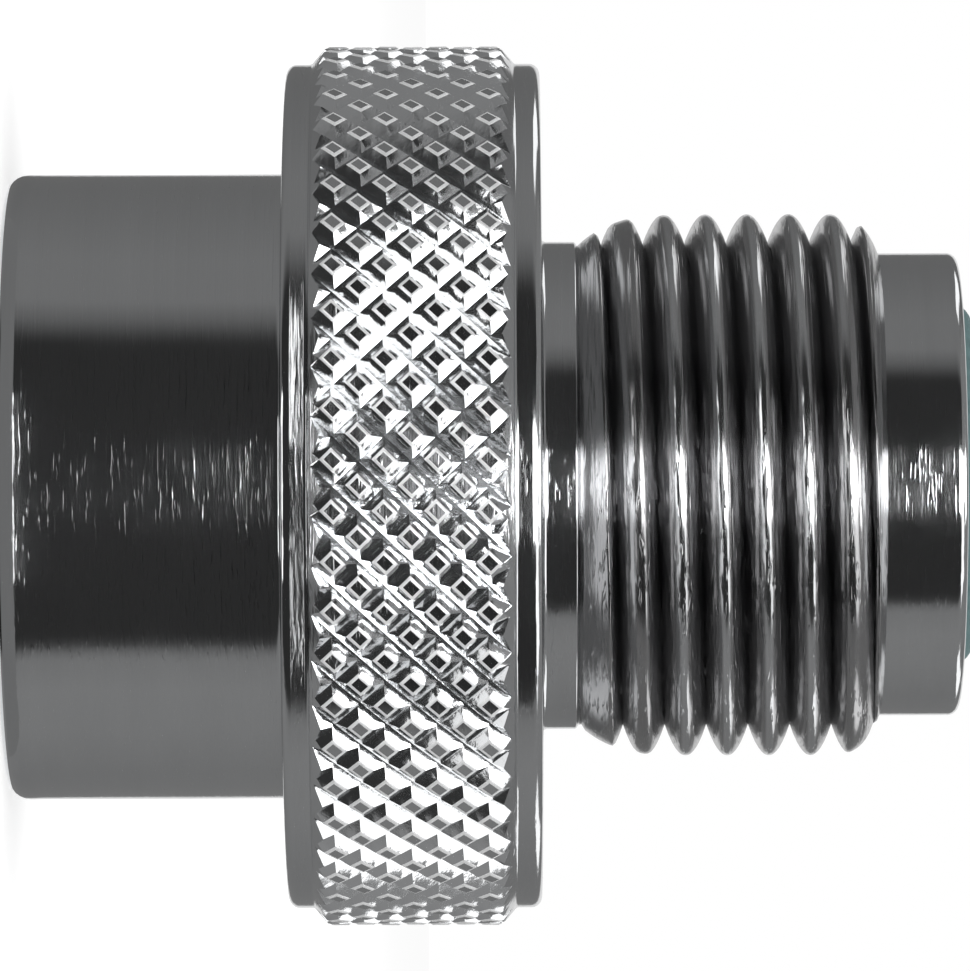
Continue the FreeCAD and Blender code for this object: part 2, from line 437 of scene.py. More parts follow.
# %% Cells of one diamond
last_a, last_b = len(flat_lines) - 1, len(deep_lines) - 1
rising = {(0, 1), (last_a - 1, last_b - 2)}
falling = {(last_a - 1, 1), (0, last_b - 2)}
cells = []
for a in range(last_a):
    for b in range(last_b):
        square = [(a, b), (a + 1, b), (a + 1, b + 1), (a, b + 1)]
        if (a, b) in rising:
            cells += [[square[0], square[1], square[2]], [square[0], square[2], square[3]]]
        elif (a, b) in falling:
            cells += [[square[0], square[1], square[3]], [square[1], square[2], square[3]]]
        else:
            cells.append(square)
print("Faces in one diamond:", len(cells))

# %% [markdown]
# The tiles are first laid out flat, as a sheet that will be rolled up. Each top leans a little its own way,
# because a knurling wheel never presses evenly, and so the tops catch the light one by one.

# %% Lay out the tiles
random = np.random.default_rng(7)
STEP_ROUND = 2 * math.pi / AROUND
TILT = 0.025


def slope_radius(height):
    """Radius of the sloped ends of the band."""
    return SHOULDER_RADIUS + np.minimum(height - KNURL_FOOT, KNURL_TOP - height) * SLOPE


flat_mesh = bmesh.new()
excess_layer, top_layer, drop_layer, along_layer, around_layer = (
    flat_mesh.verts.layers.float.new(name) for name in ("excess", "top", "drop", "along", "around"))
rows_each_way = math.ceil((KNURL_TOP - KNURL_FOOT) / KNURL_PITCH)
for line in range(-rows_each_way, rows_each_way + 1):
    for place in range(AROUND):
        middle = (place + line % 2 / 2) * STEP_ROUND
        height = BAND_MIDDLE + line * KNURL_PITCH / 2 + (tile_a + tile_b - 1) * KNURL_PITCH / 2
        angle = middle + (tile_a - tile_b) * STEP_ROUND / 2
        lean = random.uniform(-1, 1, 2)
        sunk = np.abs(lean).sum() / 2 + lean[0] * (tile_a - 0.5) + lean[1] * (tile_b - 0.5)
        radius = CREST_RADIUS - tile_drop - TILT * sunk * (tile_drop < AT_FRAME)
        excess = radius - slope_radius(height)
        grid = {}
        for a, b in np.ndindex(tile_a.shape):
            vert = flat_mesh.verts.new((angle[a, b] * CREST_RADIUS, height[a, b], excess[a, b]))
            vert[top_layer], vert[drop_layer] = on_top[a, b], tile_drop[a, b]
            vert[along_layer] = TILT * (lean[0] + lean[1]) / KNURL_PITCH
            vert[around_layer] = TILT * (lean[0] - lean[1]) / (STEP_ROUND * CREST_RADIUS)
            grid[a, b] = vert
        for cell in cells:
            flat_mesh.faces.new([grid[spot] for spot in cell])
print("Tiles:", (2 * rows_each_way + 1) * AROUND)

# %% [markdown]
# Three cuts go through the sheet: one along each end of the band, and one where the tops run into the cone
# that slopes off the knurl. The sheet's third direction holds how far a point stands over that cone.

# %% Cut the sheet and roll it up
SLOPE_SOFTNESS = 0.1
SAME_POINT = 1e-4


def cut(along, place, clear_below=False, clear_above=False):
    """Cut the flat layout by a plane across one of its three directions."""
    spot, across = [0, 0, 0], [0, 0, 0]
    spot[along], across[along] = place, 1
    bmesh.ops.bisect_plane(
        flat_mesh, geom=[*flat_mesh.verts, *flat_mesh.edges, *flat_mesh.faces], dist=1e-5,
        plane_co=spot, plane_no=across, clear_inner=clear_below, clear_outer=clear_above,
    )


cut(1, foot_cut[1], clear_below=True)
cut(1, top_cut[1], clear_above=True)
cut(2, 0)
for vert in flat_mesh.verts:
    angle, height, excess = vert.co.x / CREST_RADIUS, vert.co.y, vert.co.z
    vert[excess_layer] = excess
    radius = float(slope_radius(height) + soft_min(excess, 0.0, SLOPE_SOFTNESS))
    vert.co = (radius * math.cos(angle), radius * math.sin(angle), height)
bmesh.ops.remove_doubles(flat_mesh, verts=flat_mesh.verts, dist=SAME_POINT)
bmesh.ops.triangulate(flat_mesh, faces=flat_mesh.faces)
print("Triangles in the knurl:", len(flat_mesh.faces))

# %% [markdown]
# The knurl joins the body's lists. Flat tops and sloped ends get exact normals. Flanks keep the ones that
# Blender works out, which a row of zeros asks for. Tops and cones take the turned runs' finish, frames a
# pale one that is a painted highlight, and flanks the wheel's rougher mark with a brighter tone, a painted
# highlight too.

# %% Take the knurl into the body
first = len(points)
flat_mesh.verts.index_update()
points.extend([list(vert.co) for vert in flat_mesh.verts])
slope_length = math.hypot(1, SLOPE)
for triangle in flat_mesh.faces:
    sloped = all(vert[excess_layer] > -SAME_POINT for vert in triangle.verts)
    flat = all(vert[top_layer] > 0.99 for vert in triangle.verts)
    # Triangles in a top's frame get a pale finish, which is a painted highlight.
    frame_highlight = all(vert[drop_layer] < AT_FRAME for vert in triangle.verts)
    leaning = []
    for vert in triangle.verts:
        angle = math.atan2(vert.co.y, vert.co.x)
        if sloped:
            down = -1 if vert.co.z < BAND_MIDDLE else 1
            leaning.append(spun(1 / slope_length, down * SLOPE / slope_length, angle).tolist())
        elif vert[top_layer] > 0.99:
            outward = Vector((math.cos(angle), math.sin(angle), vert[along_layer]))
            forward = Vector((-math.sin(angle), math.cos(angle), 0)) * vert[around_layer]
            leaning.append(list((outward + forward).normalized()))
        else:
            leaning.append([0, 0, 0])
    finish = PLAIN if sloped or flat else FRAME_HIGHLIGHT if frame_highlight else KNURLED
    face([first + vert.index for vert in triangle.verts], leaning, finish)
print("Faces with the knurl:", len(faces))

# %% [markdown]
# The knurl's two edges have far more points than a ring. A zip joins such loops: it walks round both at once
# and always takes the next step on the side that lags behind.

# %% Zip the knurl to the socket's side
def edge_loop(height):
    """The knurl's outer points at one height, in order round the axis."""
    found = [
        (math.atan2(vert.co.y, vert.co.x) % (2 * math.pi), first + vert.index)
        for vert in flat_mesh.verts if abs(vert.co.z - height) < SAME_POINT
    ]
    return sorted(found)


def zip_loops(low, high, normal, finish=PLAIN):
    """Join two loops that have different numbers of points. Each is a list of (angle, point number)."""
    low = low + [(low[0][0] + 2 * math.pi, low[0][1])]
    high = high + [(high[0][0] + 2 * math.pi, high[0][1])]
    here, there = 0, 0
    while here < len(low) - 1 or there < len(high) - 1:
        step_low = there == len(high) - 1 or (
            here < len(low) - 1 and low[here + 1][0] < high[there + 1][0])
        corners = [low[here], low[here + 1] if step_low else high[there + 1], high[there]]
        if step_low:
            here += 1
        else:
            there += 1
        leaning = [spun(*normal, corner[0]).tolist() for corner in corners]
        face([corner[1] for corner in corners], leaning, finish)


foot_loop = edge_loop(foot_cut[1])
top_loop = edge_loop(top_cut[1])
zip_loops(list(zip(TURN, knurl_foot_ring)), foot_loop, (1 / slope_length, -SLOPE / slope_length))
flat_mesh.free()
print("Points on the knurl's edges:", len(foot_loop), len(top_loop))

# %% [markdown]
# ## Upper shoulder and neck
#
# A plain turned run again. The outline leaves the knurl, passes the collar's upper face and the neck, and
# ends on the ring out of which the thread grows.

# %% Turn the upper shoulder and the neck
knurl_top_ring, _ = turned([
    (top_cut[0] - LAST_STRETCH * SLOPE, top_cut[1] + LAST_STRETCH, 0),
    (SHOULDER_RADIUS, KNURL_TOP, FOOT_FILLET),
    (SHOULDER_RADIUS, COLLAR_TOP, 0.5),
    (NECK_RADIUS, COLLAR_TOP, 0.3),
    (NECK_RADIUS, SCREW_START - 0.15, 0.12),
    (ROOT_RADIUS, SCREW_START, 0),
], last=neck_cut)
zip_loops(top_loop, list(zip(TURN, knurl_top_ring)), (1 / slope_length, SLOPE / slope_length))
print("Neck's length:", round(SCREW_START - COLLAR_TOP, 2), "mm")

# %% [markdown]
# ## Nose and gas bore
#
# After the thread, the outline goes over the nose and into the seal's groove, which is cut in the end face.
# Then it runs down the gas bore to the flat seat and the relief, and comes to the female thread.

# %% Turn the nose, the groove, the gas bore and the seat
_, relief_ring = turned([
    (NOSE_RADIUS, SCREW_END, 0),
    (NOSE_RADIUS, NOSE_END, 0.5),
    (GROOVE_OUTSIDE, NOSE_END, 0.12),
    (GROOVE_OUTSIDE, GROOVE_FLOOR, 0.15),
    (GROOVE_INSIDE, GROOVE_FLOOR, 0.05),
    (GROOVE_INSIDE, NOSE_END, 0.12),
    (GAS_BORE_RADIUS, NOSE_END, 0.3),
    (GAS_BORE_RADIUS, SEAT, 0.15),
    (RELIEF_RADIUS, SEAT, 0.2),
    (RELIEF_RADIUS, RELIEF_FOOT, 0),
], first=screw_end_ring)
print("Faces without the female thread:", len(faces))

# %% [markdown]
# ## Female thread
#
# The socket has a pipe thread: 55 degrees between its flanks, round crests and round roots, and a pitch of
# 1.814 mm. It is hidden in the photo, so it is made from its standard. It opens in a cone at the mouth and
# another at the relief, where the tap ran out.

# %% Cut the female thread
TAP_PITCH = 1.814
TAP_CREST = 10.2935
TAP_FLANK = math.radians(27.5)
TAP_ROUNDING = 0.137329 * TAP_PITCH
TAP_DEPTH = 0.640327 * TAP_PITCH
EDGE_SOFTNESS = 0.12
arc = TAP_ROUNDING * math.cos(TAP_FLANK)


def female_radius(angle, height):
    """Radius of the female thread, whose ridges point at the axis."""
    away = from_crest(height - TAP_PITCH * angle / (2 * math.pi), TAP_PITCH)
    over = TAP_ROUNDING * (1 / math.sin(TAP_FLANK) - 1)
    crest = TAP_ROUNDING - np.sqrt(TAP_ROUNDING**2 - np.minimum(away, arc)**2)
    root = TAP_DEPTH - TAP_ROUNDING + np.sqrt(TAP_ROUNDING**2 - np.minimum(TAP_PITCH / 2 - away, arc)**2)
    flank = away / math.tan(TAP_FLANK) - over
    drop = np.where(away < arc, crest, np.where(TAP_PITCH / 2 - away < arc, root, flank))
    mouth = MOUTH_RADIUS - height
    run_out = RELIEF_RADIUS - (RELIEF_FOOT - height)
    return -soft_min(soft_min(-TAP_CREST - drop, -mouth, EDGE_SOFTNESS), -run_out, EDGE_SOFTNESS)


tap_rows = both_sides([0, arc, TAP_PITCH / 2 - arc, TAP_PITCH / 2])
threaded(rim_ring, relief_ring, 0, RELIEF_FOOT, TAP_PITCH, 0, tap_rows, female_radius, -1)
print("Rows in one pitch of the female thread:", len(tap_rows), "and faces in all:", len(faces))

# %% [markdown]
# ## The finished body
#
# The four lists become one closed mesh in metres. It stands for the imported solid, which stays for the
# motion model, and it rides on the part's only body.

# %% Make the body's mesh
body_mesh = bpy.data.meshes.new("adapter")
body_mesh.from_pydata((np.array(points) * MM).tolist(), [], faces)
body_mesh.shade_smooth()
body_mesh.set_sharp_from_angle(angle=math.radians(27))
body_mesh.normals_split_custom_set(normals)
adapter = bpy.data.objects.new("adapter", body_mesh)
bpy.context.scene.collection.objects.link(adapter)
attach(adapter, "root")
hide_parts("adapter_body")
print("Points:", len(body_mesh.vertices))

# %% [markdown]
# A solid part has no open edge: every edge has two faces. The volume is a second test, since a face turned
# inside out would spoil it. With both threads cut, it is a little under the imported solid's.

# %% Measure the body
edge_uses = bmesh.new()
edge_uses.from_mesh(body_mesh)
open_edges = sum(1 for edge in edge_uses.edges if len(edge.link_faces) != 2)
print("Triangles:", sum(len(corners) - 2 for corners in faces), "open edges:", open_edges,
      "volume in cm3:", round(edge_uses.calc_volume() * 1e6, 3))
edge_uses.free()

# %% [markdown]
# ## The seal
#
# A rubber ring of round section. It touches the groove's floor and inner wall, and stands a little proud of
# the nose, so that the other part's flat face squeezes it. A torus is enough, and two loops make it.

# %% Make the seal
CORD_RADIUS = 1.31
SEAL_RADIUS = GROOVE_INSIDE + CORD_RADIUS
SEAL_HEIGHT = GROOVE_FLOOR + CORD_RADIUS

seal_points, seal_faces = [], []
SEAL_COLUMNS, SEAL_ROWS = 180, 36
for column in range(SEAL_COLUMNS):
    angle = 2 * math.pi * column / SEAL_COLUMNS
    for row in range(SEAL_ROWS):
        turn = 2 * math.pi * row / SEAL_ROWS
        radius = SEAL_RADIUS + CORD_RADIUS * math.cos(turn)
        seal_points.append(tuple(spun(radius, SEAL_HEIGHT + CORD_RADIUS * math.sin(turn), angle) * MM))
        after, over = (column + 1) % SEAL_COLUMNS, (row + 1) % SEAL_ROWS
        seal_faces.append([
            column * SEAL_ROWS + row, after * SEAL_ROWS + row,
            after * SEAL_ROWS + over, column * SEAL_ROWS + over,
        ])
seal_mesh = bpy.data.meshes.new("seal")
seal_mesh.from_pydata(seal_points, [], seal_faces)
seal_mesh.shade_smooth()
seal = bpy.data.objects.new("seal", seal_mesh)
bpy.context.scene.collection.objects.link(seal)
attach(seal, "root")
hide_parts("nose_o_ring")
print("Seal from", round(SEAL_HEIGHT - CORD_RADIUS, 2), "to", round(SEAL_HEIGHT + CORD_RADIUS, 2), "mm")

# %% [markdown]
# ## Finishes
#
# All the metal has one plating, bright and nearly colourless. What differs is the surface under it: fine
# rings from the lathe on the turned runs, a rougher skin where the knurling wheels pressed, and lines along
# the thread. Some tones differ too, as painted light: a painted highlight on the knurl's flanks and frames,
# and painted shade on the thread's flanks. All finishes use the same few kinds of node, so three short
# helpers write them.

# %% Helpers for nodes
def new_group(name, inputs, outputs):
    """An empty node group with float inputs and outputs."""
    group = bpy.data.node_groups.new(name, "ShaderNodeTree")
    for label, value in inputs.items():
        group.interface.new_socket(label, in_out="INPUT", socket_type="NodeSocketFloat").default_value = value
    for label in outputs:
        group.interface.new_socket(label, in_out="OUTPUT", socket_type="NodeSocketFloat")
    return group, group.nodes.new("NodeGroupInput"), group.nodes.new("NodeGroupOutput")


def add_node(tree, kind, values=None, **settings):
    """Add a node, set its plain properties, and fill or link its inputs by name or number."""
    made = tree.nodes.new(kind)
    for name, value in settings.items():
        setattr(made, name, value)
    for name, value in (values or {}).items():
        if isinstance(value, bpy.types.NodeSocket):
            tree.links.new(value, made.inputs[name])
        else:
            made.inputs[name].default_value = value
    return made


def maths(tree, operation, *values, clamp=False):
    """One Math node and its result."""
    made = add_node(tree, "ShaderNodeMath", dict(enumerate(values)), operation=operation)
    made.use_clamp = clamp
    return made.outputs[0]


print("Node groups before the finishes:", len(bpy.data.node_groups))

# %% [markdown]
# Marks that a turning tool leaves lie at a constant radius and height. So noise that is read at the radius
# and the height makes them on cylinders, faces and cones alike: fine noise for lines, broad noise for bands.
# A little of the place round the axis is added, which lets the marks waver and end. The few highest lines
# become scratches.

# %% A group for the lathe's marks
lathe_marks, given, result = new_group(
    "lathe_marks", {"Marks per mm": 5.0, "Waver": 0.05, "Scratches": 0.1}, ["Height", "Tone"])
place = add_node(lathe_marks, "ShaderNodeTexCoord").outputs["Object"]
parts = add_node(lathe_marks, "ShaderNodeSeparateXYZ", {0: place}).outputs
radius_squared = maths(
    lathe_marks, "ADD", maths(lathe_marks, "MULTIPLY", parts[0], parts[0]),
    maths(lathe_marks, "MULTIPLY", parts[1], parts[1]))
radius_here = maths(lathe_marks, "SQRT", radius_squared)
per_metre = maths(lathe_marks, "MULTIPLY", given.outputs["Marks per mm"], 1000.0)
drift = maths(lathe_marks, "MULTIPLY", maths(lathe_marks, "ADD", parts[0], parts[1]), given.outputs["Waver"])
read_at = add_node(lathe_marks, "ShaderNodeCombineXYZ", {0: radius_here, 1: parts[2], 2: drift}).outputs[0]
scaled = add_node(
    lathe_marks, "ShaderNodeVectorMath", {0: read_at, "Scale": per_metre}, operation="SCALE").outputs[0]
fine = add_node(lathe_marks, "ShaderNodeTexNoise", {
    "Vector": scaled, "Scale": 1.0, "Detail": 1.5, "Roughness": 0.6}).outputs[0]
broad = add_node(lathe_marks, "ShaderNodeTexNoise", {
    "Vector": scaled, "Scale": 0.17, "Detail": 1.0, "Roughness": 0.5}).outputs[0]
few = add_node(lathe_marks, "ShaderNodeMapRange", {
    "Value": fine, "From Min": 0.58, "From Max": 0.7, "To Max": given.outputs["Scratches"]}).outputs[0]
marks = maths(lathe_marks, "ADD", maths(lathe_marks, "MULTIPLY", fine, 0.4), broad)
lathe_marks.links.new(maths(lathe_marks, "ADD", marks, few), result.inputs["Height"])
lathe_marks.links.new(
    maths(lathe_marks, "ADD", maths(lathe_marks, "MULTIPLY", fine, 0.4),
          maths(lathe_marks, "MULTIPLY", broad, 0.6)), result.inputs["Tone"])
print("Group:", lathe_marks.name)

# %% [markdown]
# Under the marks, the plating has a fine grain, and wear makes it duller in patches. Both are plain noises in
# the part's own space, and the patches are five times as large as the grain.

# %% A group for grain and worn patches
worn_skin, given, result = new_group("worn_skin", {"Size in mm": 0.3}, ["Height", "Mask"])
place = add_node(worn_skin, "ShaderNodeTexCoord").outputs["Object"]
finer = maths(worn_skin, "DIVIDE", 1000.0, given.outputs["Size in mm"])
grain = add_node(worn_skin, "ShaderNodeTexNoise", {
    "Vector": place, "Scale": finer, "Detail": 2.0, "Roughness": 0.65}).outputs[0]
patches = add_node(worn_skin, "ShaderNodeTexNoise", {
    "Vector": place, "Scale": maths(worn_skin, "MULTIPLY", finer, 0.2), "Detail": 1.0}).outputs[0]
worn_skin.links.new(grain, result.inputs["Height"])
worn_skin.links.new(
    add_node(worn_skin, "ShaderNodeMapRange", {
        "Value": patches, "From Min": 0.42, "From Max": 0.66}).outputs[0], result.inputs["Mask"])
print("Group:", worn_skin.name)

# %% [markdown]
# ## Bright plating
#
# Each finish has its own Principled shader, and the two groups give its marks, tone and roughness. The marks
# and the grain are added up before one single Bump node, because a chain of bumps would read every noise
# again and again. Heights are in millimetres.

# %% A plated finish
PLATING = (0.62, 0.63, 0.64)


def plated(name, marks, waver, scratches, mark_height, grain, grain_height, roughness, tone=1.0, metal=1.0):
    """A plated finish with lathe marks per mm, scratches and grain. Sizes are in mm."""
    material = bpy.data.materials.new(name)
    material.use_nodes = True
    tree = material.node_tree
    shader = tree.nodes["Principled BSDF"]
    shader.inputs["Metallic"].default_value = metal
    turning = add_node(tree, "ShaderNodeGroup", node_tree=lathe_marks)
    turning.inputs["Marks per mm"].default_value = marks
    turning.inputs["Waver"].default_value = waver
    turning.inputs["Scratches"].default_value = scratches
    skin = add_node(tree, "ShaderNodeGroup", node_tree=worn_skin)
    skin.inputs["Size in mm"].default_value = grain
    tint = add_node(tree, "ShaderNodeMix", {
        "Factor": turning.outputs["Tone"],
        "A": (*[min(1, value * tone * 0.94) for value in PLATING], 1),
        "B": (*[min(1, value * tone * 1.06) for value in PLATING], 1),
    }, data_type="RGBA")
    tree.links.new(tint.outputs["Result"], shader.inputs["Base Color"])
    rough = add_node(tree, "ShaderNodeMapRange", {
        "Value": skin.outputs["Mask"], "To Min": roughness * 0.9, "To Max": roughness * 1.2})
    tree.links.new(rough.outputs[0], shader.inputs["Roughness"])
    relief = maths(
        tree, "ADD", maths(tree, "MULTIPLY", turning.outputs["Height"], mark_height),
        maths(tree, "MULTIPLY", skin.outputs["Height"], grain_height))
    bump = add_node(tree, "ShaderNodeBump", {"Strength": 1.0, "Distance": MM, "Height": relief})
    tree.links.new(bump.outputs[0], shader.inputs["Normal"])
    return material


print("Plating colour:", PLATING)

# %% [markdown]
# Four finishes share that recipe. The turned one is smooth, with a few scratches. The knurled one has hardly
# any lathe marks but a coarse grain, and a brighter tone that is a painted highlight. The threaded one has
# the deepest lines, which break its highlight into streaks. The frames' one is matt and nearly white, a
# painted highlight, with a high roughness and a lower metallic value.

# %% Make the four plated finishes
plating_turned = plated(
    "plating_turned", marks=5.0, waver=0.12, scratches=0.2, mark_height=0.014,
    grain=0.5, grain_height=0.0004, roughness=0.11)
# The knurl's flanks have a brighter tone than the plating, a painted highlight.
plating_knurled = plated(
    "plating_knurled", marks=4.0, waver=0.05, scratches=0.0, mark_height=0.001,
    grain=0.35, grain_height=0.012, roughness=0.14, tone=1.25)
plating_threaded = plated(
    "plating_threaded", marks=5.0, waver=0.12, scratches=0.5, mark_height=0.036,
    grain=0.5, grain_height=0.001, roughness=0.15)
# The frames' finish is a painted highlight: pale, nearly white, rough and partly metallic.
plating_frame_highlight = plated(
    "plating_frame_highlight", marks=4.0, waver=0.05, scratches=0.0, mark_height=0.001,
    grain=0.2, grain_height=0.004, roughness=0.42, tone=1.55, metal=0.45)
print("Plated finishes:", [material.name for material in bpy.data.materials if "plating" in material.name])

# %% [markdown]
# The thread's flanks and roots get a darker tone, which is painted shade in the grooves between the ridges,
# and a higher roughness. The radius tells them from the crests, so a mask rises from 0 to 1 over the last few
# hundredths of a millimetre below the crest, and mixes the painted shade and the higher roughness with the
# bright tone and roughness.

# %% Paint shade on the thread's flanks and roughen them
CREST_FOOT, CREST_HEAD = 12.92, 12.98
FLANK_PAINTED_SHADE = (0.38, 0.38, 0.385, 1)
DULL_ROUGHNESS = 0.2
tree = plating_threaded.node_tree
shader = tree.nodes["Principled BSDF"]
place = add_node(tree, "ShaderNodeTexCoord").outputs["Object"]
across = add_node(tree, "ShaderNodeVectorMath", {0: place, 1: (1, 1, 0)}, operation="MULTIPLY").outputs[0]
radius_here = add_node(tree, "ShaderNodeVectorMath", {0: across}, operation="LENGTH").outputs["Value"]
unshaded_crest = add_node(tree, "ShaderNodeMapRange", {
    "Value": radius_here, "From Min": CREST_FOOT * MM, "From Max": CREST_HEAD * MM}).outputs[0]
# The flanks' darker tone is painted shade; their higher roughness is real.
for name, dull in (("Base Color", FLANK_PAINTED_SHADE), ("Roughness", DULL_ROUGHNESS)):
    bright = shader.inputs[name].links[0].from_socket
    mix = add_node(tree, "ShaderNodeMix", data_type="RGBA" if name == "Base Color" else "FLOAT")
    slots = [slot for slot in mix.inputs if slot.enabled]
    tree.links.new(unshaded_crest, slots[0])
    slots[1].default_value = dull
    tree.links.new(bright, slots[2])
    tree.links.new([slot for slot in mix.outputs if slot.enabled][0], shader.inputs[name])
print("Crests are bright above a radius of", CREST_HEAD, "mm")

# %% [markdown]
# The mesh takes the finishes in the order of their numbers, and each face is told its own.

# %% Give the body its finishes
for material in (plating_turned, plating_knurled, plating_threaded, plating_frame_highlight):
    body_mesh.materials.append(material)
body_mesh.polygons.foreach_set("material_index", finishes)
print("Finishes:", [material.name for material in body_mesh.materials])

# %% [markdown]
# ## Rubber
#
# The seal is a dull blue-green rubber. It is a little uneven, and its skin has a very fine grain. The group
# that makes the metal's grain serves here too, with its own size.

# %% Make the rubber
RUBBER_DARK, RUBBER_PALE = (0.085, 0.155, 0.16, 1), (0.11, 0.19, 0.195, 1)
rubber = bpy.data.materials.new("seal_rubber")
rubber.use_nodes = True
tree = rubber.node_tree
shader = tree.nodes["Principled BSDF"]
skin = add_node(tree, "ShaderNodeGroup", node_tree=worn_skin)
skin.inputs["Size in mm"].default_value = 0.12
tint = add_node(
    tree, "ShaderNodeMix", {"Factor": skin.outputs["Mask"], "A": RUBBER_DARK, "B": RUBBER_PALE},
    data_type="RGBA")
tree.links.new(tint.outputs["Result"], shader.inputs["Base Color"])
rough = add_node(tree, "ShaderNodeMapRange", {"Value": skin.outputs["Mask"], "To Min": 0.5, "To Max": 0.66})
tree.links.new(rough.outputs[0], shader.inputs["Roughness"])
grain = add_node(tree, "ShaderNodeBump", {
    "Strength": 1.0, "Distance": 0.004 * MM, "Height": skin.outputs["Height"]})
tree.links.new(grain.outputs[0], shader.inputs["Normal"])
seal_mesh.materials.append(rubber)
print("Rubber from", RUBBER_DARK[:3], "to", RUBBER_PALE[:3])

# %% [markdown]
# ## Floor and studio
#
# The adapter stands on its rim on a white floor, in a white room. A stage surface may look white without
# lighting the part: its glow is switched on by the kind of ray that sees it. Rays from the camera, from
# reflections and through glass see the glow, and rays that light dull things don't.

# %% Stage materials
def seen_by(tree):
    """1 for rays that show what they meet, and 0 for rays that light things."""
    path = add_node(tree, "ShaderNodeLightPath").outputs
    seen = maths(tree, "MAXIMUM", path["Is Camera Ray"], path["Is Glossy Ray"])
    return maths(tree, "MAXIMUM", seen, path["Is Transmission Ray"])


def stage_material(name, colour, glow=None):
    """A dull stage surface that glows. Without a glow of its own, it takes its mesh's, on the front only."""
    material = bpy.data.materials.new(name)
    material.use_nodes = True
    tree = material.node_tree
    shader = tree.nodes["Principled BSDF"]
    shader.inputs["Base Color"].default_value = (*[colour] * 3, 1)
    shader.inputs["Roughness"].default_value = 0.9
    shader.inputs["Specular IOR Level"].default_value = 0.0
    if glow is None:
        lit_side = maths(tree, "SUBTRACT", 1.0, add_node(tree, "ShaderNodeNewGeometry").outputs["Backfacing"])
        written = add_node(tree, "ShaderNodeAttribute", attribute_name="glow").outputs["Fac"]
        glow = maths(tree, "MULTIPLY", lit_side, written)
    tree.links.new(maths(tree, "MULTIPLY", seen_by(tree), glow), shader.inputs["Emission Color"])
    shader.inputs["Emission Strength"].default_value = 1.0
    material.cycles.emission_sampling = "NONE"
    return material


print("Stage materials glow for three kinds of ray")

# %% [markdown]
# The floor is a pale disc. Lamps and room light make it light grey, and its glow lifts it to white, so the
# adapter's shadow still shows. The world is white where it is seen and weaker where it lights.

# %% Floor and world
FLOOR_COLOUR, FLOOR_GLOW = 0.8, 0.52
FLOOR_RADIUS = 3.0
floor_mesh = bmesh.new()
bmesh.ops.create_circle(floor_mesh, cap_ends=True, segments=128, radius=FLOOR_RADIUS)
floor_data = bpy.data.meshes.new("floor")
floor_mesh.to_mesh(floor_data)
floor_mesh.free()
floor = bpy.data.objects.new("floor", floor_data)
bpy.context.scene.collection.objects.link(floor)
floor_data.materials.append(stage_material("white_floor", FLOOR_COLOUR, FLOOR_GLOW))
floor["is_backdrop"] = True

world = bpy.data.worlds.new("studio")
bpy.context.scene.world = world
world.use_nodes = True
tree = world.node_tree
AMBIENT = 0.55
level = add_node(tree, "ShaderNodeMapRange", {"Value": seen_by(tree), "To Min": AMBIENT, "To Max": 1.0})
tree.links.new(level.outputs[0], tree.nodes["Background"].inputs["Strength"])
tree.nodes["Background"].inputs["Color"].default_value = (1, 1, 1, 1)
print("Floor radius:", FLOOR_RADIUS, "m")

# %% [markdown]
# ## Cards
#
# Bright metal shows only what is round it, and in an all-white room it would look like paper. So cards stand
# in a wide circle, as in a photographer's studio: dark in front, grey at the sides, light behind. The camera
# never sees them. Angles are in degrees from the front, and positive to a standing viewer's right. Between
# two entries the level changes evenly, so the metal shows no steps.

# %% Levels round the adapter
CARD_DISTANCE = 1.3
CARD_HEIGHT = 1.35
EYE_LEVEL = 0.5 * NOSE_END * MM
DARK, GREY, LIGHT = 0.017, 0.2, 0.8
SURROUND = [
    (-180, LIGHT), (-166, LIGHT), (-165, 0.14), (-140, 0.16), (-115, 0.185), (-90, 0.215), (-70, 0.215),
    (-62, 0.14), (-56, 0.05), (-53, DARK), (57, DARK), (60, 0.05), (62.5, 0.17), (66, 0.235), (80, 0.26),
    (100, 0.25), (130, 0.21), (165, 0.19), (166, LIGHT), (180, LIGHT),
]
print("Levels given at", len(SURROUND), "angles")

# %% [markdown]
# Every card is a strip between two angles and two places, each a radius and a height, so one function makes
# upright, lying and leaning cards. The level is stored in the mesh point by point, and one material reads it
# for all the cards. Only the side that faces the adapter glows.

# %% Make a card
CARD_COLOUR = 0.02
card_material = stage_material("card", CARD_COLOUR)


def card(name, left, right, near, far, level=None, turned_in=1.0):
    """A card between two compass angles from the front, in degrees, and two places (radius, height).

    Without a level of its own, it takes the surround's.
    """
    compass = np.linspace(left, right, max(2, round(abs(right - left) / 2)) + 1)
    levels = np.interp(compass, *zip(*SURROUND)) if level is None else np.full(len(compass), level)
    made = bmesh.new()
    glow = made.verts.layers.float.new("glow")
    columns = []
    for angle, shine in zip(np.radians(compass), levels):
        ends = (spun(*near, angle * turned_in - math.pi / 2), spun(*far, angle - math.pi / 2))
        columns.append([made.verts.new(place) for place in ends])
        for vert in columns[-1]:
            vert[glow] = shine
    for before, after in zip(columns, columns[1:]):
        made.faces.new([before[1], after[1], after[0], before[0]])
    data = bpy.data.meshes.new(name)
    made.to_mesh(data)
    made.free()
    placed = bpy.data.objects.new(name, data)
    bpy.context.scene.collection.objects.link(placed)
    data.materials.append(card_material)
    for kind in ("camera", "diffuse", "shadow", "transmission", "volume_scatter"):
        setattr(placed, f"visible_{kind}", False)
    placed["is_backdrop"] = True


def raised(name, left, right, low, high, level, distance=1.0):
    """A card that spans two angles over the horizon, in degrees, nearer than the others."""
    places = [(distance * math.cos(math.radians(rise)), EYE_LEVEL + distance * math.sin(math.radians(rise)))
              for rise in (low, high)]
    card(name, left, right, *places, level)


print("Cards stand", CARD_DISTANCE, "m away")

# %% [markdown]
# The surround stands, and lies on the floor up to the socket's foot, since the metal's lower edges look down.
# Close to the foot a grey strip and a thin light one draw the rim's light line. The floor's cards lie a
# tenth of a millimetre apart.

